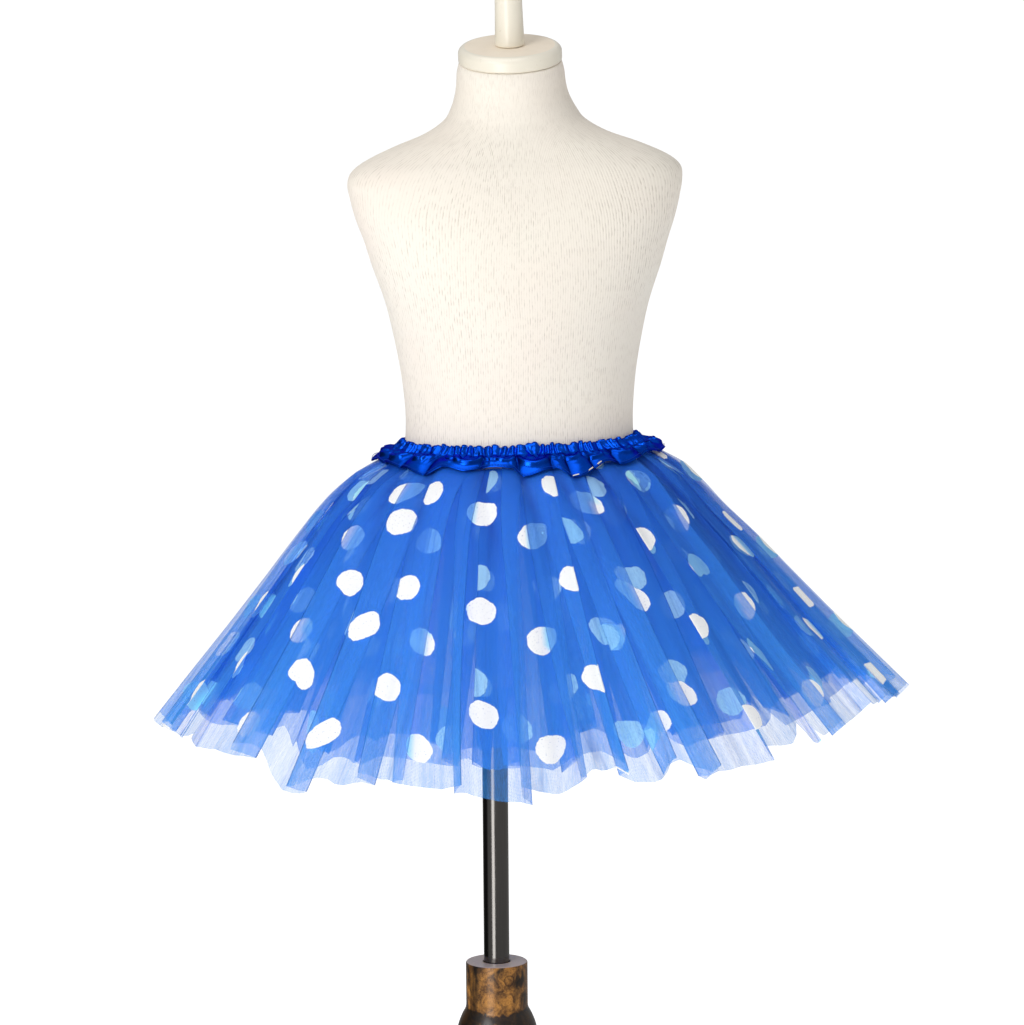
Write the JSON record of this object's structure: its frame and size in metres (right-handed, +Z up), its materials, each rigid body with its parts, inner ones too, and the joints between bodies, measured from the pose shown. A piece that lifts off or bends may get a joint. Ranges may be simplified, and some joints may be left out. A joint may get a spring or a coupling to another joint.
{
  "type": "tulle skirt on a dress form",
  "caption": "Gathered, dotted tulle skirt with layered pleats and an elastic satin waistband, shown on a limbless child's dress form with a neck cap, steel pole, turned wood column and round base.",
  "frame": {"origin": "centre of the round base's underside, on the pole's axis", "axes": "+Z up along the pole, -Y towards the front of the skirt, +X towards the wearer's left side"},
  "size_m": [0.6054, 0.509, 1.0313],
  "materials": {
    "base_wood": "dark brown stain under clear gloss",
    "column_wood": "mottled brown and black under clear gloss",
    "pole_steel": "dark polished steel",
    "flange_steel": "black enamel",
    "jersey": "cream fine rib jersey",
    "cream_paint": "cream paint, satin",
    "satin": "royal blue satin",
    "tulle": "soft blue net with white dots"
  },
  "bodies": {
    "stand": {"base_disc": "base_wood", "wood_column": "column_wood"},
    "pole": {"pole": "pole_steel"},
    "form": {"form_flange": "flange_steel", "form_torso": "jersey", "neck_cap": "cream_paint", "finial": "cream_paint", "waistband": "satin", "tulle_outer": "tulle", "tulle_middle": "tulle", "tulle_inner": "tulle"}
  },
  "joints": [
    {"name": "height_slide", "type": "slide", "parent": "stand", "child": "pole", "axis": [0, 0, 1], "range_m": [-0.06, 0.08]},
    {"name": "form_swivel", "type": "hinge", "parent": "pole", "child": "form", "pos_m": [0, 0, 0.48], "axis": [0, 0, 1], "continuous": true}
  ]
}
